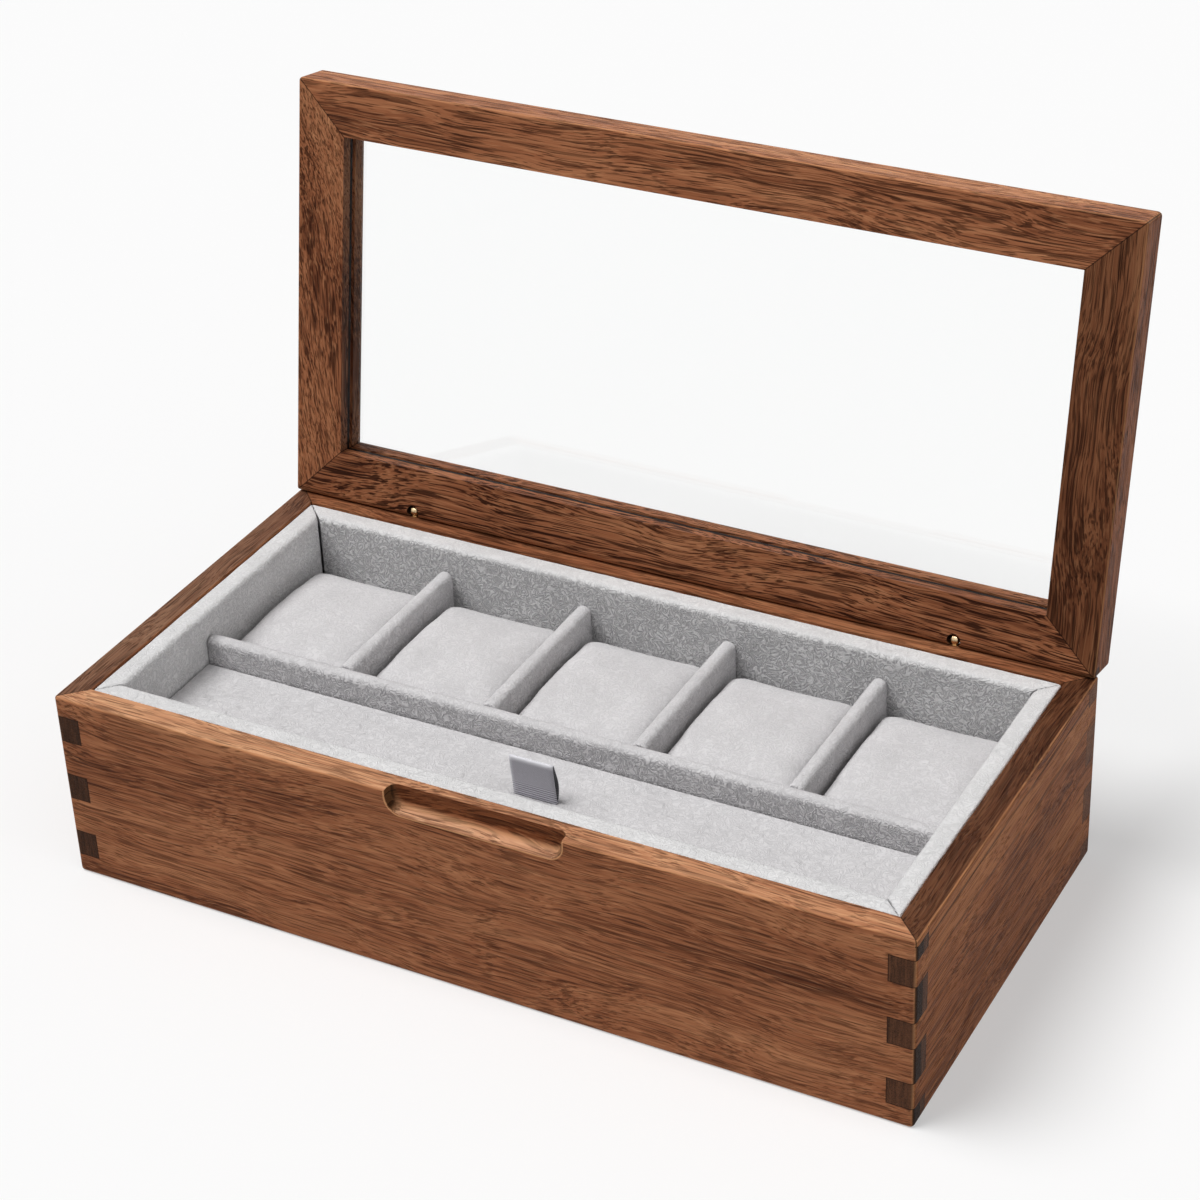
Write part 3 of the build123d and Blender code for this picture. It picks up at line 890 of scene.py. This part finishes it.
def tray_board():
    """The suede-covered tray floor: soft rims, and a slit that the ribbon passes through."""
    low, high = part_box("tray_floor")
    ribbon_low, ribbon_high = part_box("pull_ribbon")
    slit_y = (ribbon_low.y + ribbon_high.y) / 2
    slit_x = (ribbon_low.x - SLIT_SIDE, ribbon_high.x + SLIT_SIDE)
    slit_span = (slit_y - SLIT_HALF, slit_y + SLIT_HALF)
    columns = edge_lines(low.x, high.x, slit_x)
    rows = edge_lines(low.y, high.y, slit_span)
    mesh = bmesh.new()

    def drop(distance):
        short = max(0, TRAY_EDGE_ROUND - distance)
        return TRAY_EDGE_ROUND - math.sqrt(max(0, TRAY_EDGE_ROUND**2 - short**2))

    top, under = {}, {}
    for i, x in enumerate(columns):
        for j, y in enumerate(rows):
            rim = min(x - low.x, high.x - x, y - low.y, high.y - y)
            height = high.z - drop(rim) + fabric_relief(Vector((x, y, high.z)), TRAY_SEED)
            top[i, j] = mesh.verts.new((x, y, height))
            under[i, j] = mesh.verts.new((x, y, low.z))
    first, last = columns.index(slit_x[0]), columns.index(slit_x[1])
    front, back = rows.index(slit_span[0]), rows.index(slit_span[1])
    cells = {
        (i, j)
        for i in range(len(columns) - 1)
        for j in range(len(rows) - 1)
        if not (first <= i < last and front <= j < back)
    }
    for i, j in cells:
        ring = [(i, j), (i + 1, j), (i + 1, j + 1), (i, j + 1)]
        mesh.faces.new([top[place] for place in ring])
        mesh.faces.new([under[place] for place in reversed(ring)])
        beside = [(i, j - 1), (i + 1, j), (i, j + 1), (i - 1, j)]
        for index, neighbour in enumerate(beside):
            if neighbour not in cells:
                start, end = ring[index], ring[(index + 1) % 4]
                mesh.faces.new((top[start], under[start], under[end], top[end]))
    made = bpy.data.meshes.new("tray_board")
    mesh.to_mesh(made)
    mesh.free()
    add_piece("tray_floor_suede", made, lining_look, "tray", ["tray_floor"])


# Watch cushions

SIM_SCALE = 20
SIM_FRAMES = 20
SIM_PRESSURE = 1.5
CUSHION_VOXEL = 3.5 * MM
CUSHION_CAP = 0.9 * MM
CUSHION_CLEAR = 0.1 * MM


def evaluated_mesh(thing):
    """A copy of a thing's mesh with its modifiers applied."""
    bpy.context.view_layer.update()
    graph = bpy.context.evaluated_depsgraph_get()
    return bpy.data.meshes.new_from_object(thing.evaluated_get(graph))


def foam_block(node):
    """The cushion's plain form, remeshed for simulation, at the simulation's scale."""
    low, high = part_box(node)
    made = nodes[node].data.copy()
    made.materials.clear()
    made.transform(Matrix.Scale(SIM_SCALE, 4) @ Matrix.Translation(-(low + high) / 2))
    block = bpy.data.objects.new("foam", made)
    bpy.context.scene.collection.objects.link(block)
    remesh = block.modifiers.new("remesh", "REMESH")
    remesh.mode = "VOXEL"
    remesh.voxel_size = CUSHION_VOXEL * SIM_SCALE
    block.data = evaluated_mesh(block)
    block.modifiers.clear()
    return block


def inflate(block):
    """Blows a foam block up as cloth under pressure, and caps how far its points move."""
    rest = [vertex.co.copy() for vertex in block.data.vertices]
    cloth = block.modifiers.new("cloth", "CLOTH")
    settings = cloth.settings
    settings.quality = 6
    settings.use_pressure = True
    settings.uniform_pressure_force = SIM_PRESSURE
    settings.tension_stiffness = 12
    settings.compression_stiffness = 12
    settings.bending_stiffness = 4
    settings.effector_weights.gravity = 0
    cloth.collision_settings.use_collision = False
    for number in range(1, SIM_FRAMES + 1):
        bpy.context.scene.frame_set(number)
    blown = evaluated_mesh(block)
    block.modifiers.clear()
    bpy.context.scene.frame_set(1)
    cap = CUSHION_CAP * SIM_SCALE
    for vertex, before in zip(blown.vertices, rest):
        moved = vertex.co - before
        if moved.length > cap:
            vertex.co = before + moved.normalized() * cap
    block.data = blown


def fit_to_box(mesh, low, high):
    """Brings a simulated cushion to its real place and size: its sides press flat against
    the compartment's walls, and its height is scaled to fit.
    """
    heights = [vertex.co.z for vertex in mesh.vertices]
    least, most = min(heights), max(heights)
    middle = (low + high) / 2
    for vertex in mesh.vertices:
        for axis in (0, 1):
            place = middle[axis] + vertex.co[axis] / SIM_SCALE
            nearest, farthest = low[axis] + CUSHION_CLEAR, high[axis] - CUSHION_CLEAR
            vertex.co[axis] = min(max(place, nearest), farthest)
        vertex.co.z = low.z + (high.z - low.z) * (vertex.co.z - least) / (most - least)


def cushion(index):
    """One watch cushion: foam in suede, swollen by a cloth simulation."""
    node = f"cushion_{index}"
    low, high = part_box(node)
    block = foam_block(node)
    inflate(block)
    fit_to_box(block.data, low, high)
    soften = block.modifiers.new("soften", "SMOOTH")
    soften.factor = 0.5
    soften.iterations = 4
    smooth = block.modifiers.new("smooth", "SUBSURF")
    smooth.levels = 1
    mesh = evaluated_mesh(block)
    bpy.data.objects.remove(block)
    for vertex in mesh.vertices:
        vertex.co += vertex.normal * fabric_relief(vertex.co, CUSHION_SEED + index)
    piece = add_piece(f"{node}_suede", mesh, cushion_look, node, [node])


# Pull ribbon

RIBBON_THICKNESS = 0.45 * MM
RIBBON_COLUMNS = 12

# The ribbon's line in millimetres: its flat tails under the floor, its legs in the slit
TAIL_PLACES = (9, 5, 1.2)
TAIL_LEVEL = -3.3
LEG = 0.32

# Share of the thickness left at the ribbon's edges
SELVEDGE = 0.55


def bezier_run(start, first_handle, second_handle, end, count):
    """Points along one bend of the ribbon, from (y, z) pairs in millimetres."""
    handles = [Vector((y, 0, z)) for y, z in (start, first_handle, second_handle, end)]
    return geometry.interpolate_bezier(*handles, count)


def ribbon_path():
    """The ribbon's line seen from its edge, as (y, 0, z) in millimetres from its slit."""
    runs = [
        [Vector((-place, 0, TAIL_LEVEL)) for place in TAIL_PLACES],
        bezier_run((-1.0, TAIL_LEVEL), (-0.5, TAIL_LEVEL), (-LEG, -3.1), (-LEG, -2.6), 6),
        [Vector((-LEG, 0, -1.3))],
        bezier_run((-LEG, 0.0), (-0.35, 5.0), (-1.5, 9.0), (-1.95, 15.9), 16),
        bezier_run((-1.95, 15.95), (-1.98, 16.72), (-1.05, 16.95), (-0.98, 16.0), 8)[1:],
        bezier_run((-0.97, 15.9), (0.2, 11.0), (3.3, 7.0), (LEG, 0.0), 16),
        [Vector((LEG, 0, -1.3))],
        bezier_run((LEG, -2.6), (LEG, -3.1), (0.5, TAIL_LEVEL), (1.0, TAIL_LEVEL), 6),
        [Vector((place, 0, TAIL_LEVEL)) for place in reversed(TAIL_PLACES)],
    ]
    return [point for run in runs for point in run]


def pull_ribbon():
    """The folded ribbon, as one closed band of the ribbon's thickness."""
    low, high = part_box("pull_ribbon")
    slit = Vector((0, (low.y + high.y) / 2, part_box("tray_floor")[1].z))
    path = [Vector((0, point.x, point.z)) * MM + slit for point in ribbon_path()]
    normals = []
    for index in range(len(path)):
        ahead = path[min(index + 1, len(path) - 1)] - path[max(index - 1, 0)]
        normals.append(Vector((0, -ahead.z, ahead.y)).normalized())
    half = RIBBON_THICKNESS / 2
    rings = []
    for point, normal in zip(path, normals):
        ring = []
        for side in (1, -1):
            steps = range(RIBBON_COLUMNS + 1)
            for column in steps if side > 0 else reversed(steps):
                share = column / RIBBON_COLUMNS
                edge = min(share, 1 - share) * 2
                thickness = half * (SELVEDGE + (1 - SELVEDGE) * min(1, edge * 6))
                place = point + normal * side * thickness
                place.x = low.x + (high.x - low.x) * share
                ring.append(place)
        rings.append(ring)
    made = closed_band(rings, "ribbon")
    piece = add_piece("ribbon_band", made, ribbon_material(), "tray", ["pull_ribbon"])


# The lining walls take the paler suede as painted light; the partitions and floors take the plainer
# one
rim_lit_look = suede("suede_rims_lit", 7.0, RIM_SUEDE_LIT, RIM_SUEDE_LIT_SHADE)
lining_look = suede("suede_lining", 3.0)
cushion_look = suede("suede_cushion", 11.0, nap=0.7)
finish_node("compartment_floor", lining_look)
for number, side in enumerate(SIDES):
    liner_board(side, LINER_SEED + number)
ALONG_X = (Vector((1, 0, 0)), Vector((0, 1, 0)))
ALONG_Y = (Vector((0, 1, 0)), Vector((-1, 0, 0)))
partition_board("tray_divider", *ALONG_X, PARTITION_SEED)
for index in range(1, 5):
    partition_board(f"divider_{index}", *ALONG_Y, PARTITION_SEED + index)
tray_board()
pull_ribbon()
for index in range(1, 6):
    cushion(index)


# Camera, fitted to the photograph

CAMERA_AZIMUTH = math.radians(29.09)
CAMERA_ELEVATION = math.radians(31.75)
CAMERA_ROLL = math.radians(-2.56)
CAMERA_TARGET = Vector((12.55 * MM, 0, 115.32 * MM))
CAMERA_DISTANCE = 1024.31 * MM
CAMERA_LENS = 89.44
CAMERA_SENSOR = 36


def place_camera():
    """Sets the camera that the fit gave: a direction, a roll, a distance and a lens."""
    back = Vector(
        (
            math.sin(CAMERA_AZIMUTH) * math.cos(CAMERA_ELEVATION),
            -math.cos(CAMERA_AZIMUTH) * math.cos(CAMERA_ELEVATION),
            math.sin(CAMERA_ELEVATION),
        )
    )
    level = Vector((0, 0, 1)).cross(back).normalized()
    rise = back.cross(level)
    right = level * math.cos(CAMERA_ROLL) + rise * math.sin(CAMERA_ROLL)
    up = rise * math.cos(CAMERA_ROLL) - level * math.sin(CAMERA_ROLL)
    data = bpy.data.cameras.new("camera")
    data.lens = CAMERA_LENS
    data.sensor_width = CAMERA_SENSOR
    data.clip_start = 0.01
    camera = bpy.data.objects.new("camera", data)
    bpy.context.scene.collection.objects.link(camera)
    camera.matrix_world = Matrix.Translation(CAMERA_TARGET + back * CAMERA_DISTANCE) @ (
        Matrix((right, up, back)).transposed().to_4x4()
    )
    bpy.context.scene.camera = camera


# Light, floor and background; a lamp's place gives only its direction

KEY_PLACE = (-0.62, -0.3, 1.35)
KEY_STRENGTH = 2.65
KEY_SPREAD = math.radians(36)
FILL_PLACE = (0.9, -0.25, 0.95)
FILL_STRENGTH = 0.45
FILL_SPREAD = math.radians(60)
SIDE_PLACE = (1.0, -0.08, 0.06)
SIDE_STRENGTH = 0.3
SIDE_SPREAD = math.radians(8)
SKY = 0.2
FLOOR_SHADE = 0.55
FLOOR_GLOW = 0.385


def seen_directly(tree):
    """1 for camera, mirror and glass rays, which see the background itself."""
    path = tree.node("ShaderNodeLightPath")
    seen = tree.math("MAXIMUM", path.outputs["Is Camera Ray"], path.outputs["Is Glossy Ray"])
    return tree.math("MAXIMUM", seen, path.outputs["Is Transmission Ray"])


def soft_lamp(name, place, spread, strength):
    """Even light from the direction of a place, soft-edged by its spread."""
    data = bpy.data.lights.new(name, "SUN")
    data.angle = spread
    data.energy = strength
    lamp = bpy.data.objects.new(name, data)
    bpy.context.scene.collection.objects.link(lamp)
    lamp.location = place
    lamp.rotation_euler = (-Vector(place)).to_track_quat("-Z", "Y").to_euler()


class WorldTree(Tree):
    """The same calls for the world's node tree."""

    def __init__(self, world):
        world.use_nodes = True
        self.nodes = world.node_tree.nodes
        self.links = world.node_tree.links


def light_studio():
    """White surroundings that light the box softly, and three soft lamps."""
    world = bpy.data.worlds.new("studio")
    bpy.context.scene.world = world
    tree = WorldTree(world)
    strength = tree.remap(seen_directly(tree), 0, 1, SKY, 1.0)
    background = tree.nodes["Background"]
    background.inputs["Color"].default_value = (1, 1, 1, 1)
    tree.put(background.inputs["Strength"], strength)
    soft_lamp("key", KEY_PLACE, KEY_SPREAD, KEY_STRENGTH)
    soft_lamp("fill", FILL_PLACE, FILL_SPREAD, FILL_STRENGTH)
    soft_lamp("side", SIDE_PLACE, SIDE_SPREAD, SIDE_STRENGTH)


def lay_floor():
    """A plain pale floor that reads as white paper."""
    mesh = bpy.data.meshes.new("floor")
    reach = 4.0
    corners = [(-reach, -reach, 0), (reach, -reach, 0), (reach, reach, 0), (-reach, reach, 0)]
    mesh.from_pydata(corners, [], [(0, 1, 2, 3)])
    floor = bpy.data.objects.new("floor", mesh)
    bpy.context.scene.collection.objects.link(floor)
    tree = Tree("floor_paper")
    tree.surface(Base_Color=(FLOOR_SHADE,) * 3 + (1,), Roughness=1.0, Specular_IOR_Level=0.0)
    tree.surface(Emission_Color=(1, 1, 1, 1))
    tree.surface(Emission_Strength=tree.math("MULTIPLY", seen_directly(tree), FLOOR_GLOW))
    mesh.materials.append(tree.material)


place_camera()
light_studio()
lay_floor()

scene = bpy.context.scene
scene.view_settings.view_transform = "Standard"
